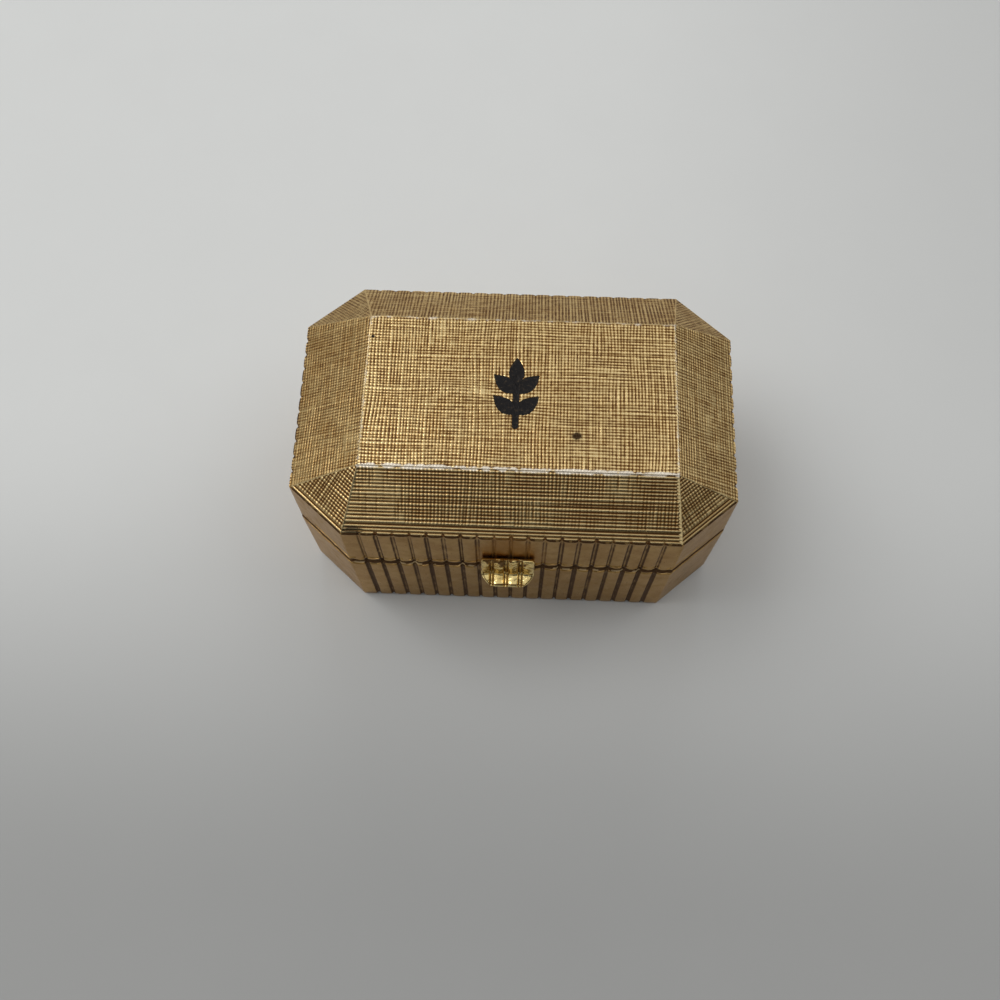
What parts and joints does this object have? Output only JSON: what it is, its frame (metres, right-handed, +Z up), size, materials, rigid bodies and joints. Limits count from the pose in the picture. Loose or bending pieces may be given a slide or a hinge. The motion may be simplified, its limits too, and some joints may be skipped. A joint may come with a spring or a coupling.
{
  "type": "solid perfume compact",
  "caption": "Small gold-tone octagonal casket with reeded walls, a bevelled linen-engraved lid on a back hinge, a front thumb tab and a pan of wax perfume inside.",
  "frame": {"origin": "centre of the flat underside of the base, on the surface the compact stands on", "axes": "+X along the case to the right, +Y to the back towards the hinge, +Z up through the lid"},
  "size_m": [0.038, 0.0262, 0.0204],
  "materials": {
    "gold_tone_case": "worn satin gold tone with darkened grooves",
    "gold_tone_lining": "satin gold tone",
    "gold_tone_hinge": "satin gold tone",
    "gold_tone_tab": "polished gold tone",
    "pan_metal": "satin",
    "perfume_wax": "soft waxy sheen",
    "hinge_steel": "satin",
    "black_enamel": "worn gloss enamel"
  },
  "bodies": {
    "base": {"base_shell": "gold_tone_case", "inner_collar": "gold_tone_lining", "catch_bead": "gold_tone_lining", "perfume_pan": "pan_metal", "perfume_cake": "perfume_wax", "base_knuckle_left": "gold_tone_hinge", "base_knuckle_middle": "gold_tone_hinge", "base_knuckle_right": "gold_tone_hinge", "hinge_pin": "hinge_steel"},
    "lid": {"lid_shell": "gold_tone_case", "enamel_sprig": "black_enamel", "thumb_tab": "gold_tone_tab", "lid_knuckle_left": "gold_tone_hinge", "lid_knuckle_right": "gold_tone_hinge"}
  },
  "joints": [
    {"name": "lid_hinge", "type": "hinge", "parent": "base", "child": "lid", "pos_m": [0, 0.0116, 0.01038], "axis": [-1, 0, 0], "range_deg": [0, 100]}
  ]
}
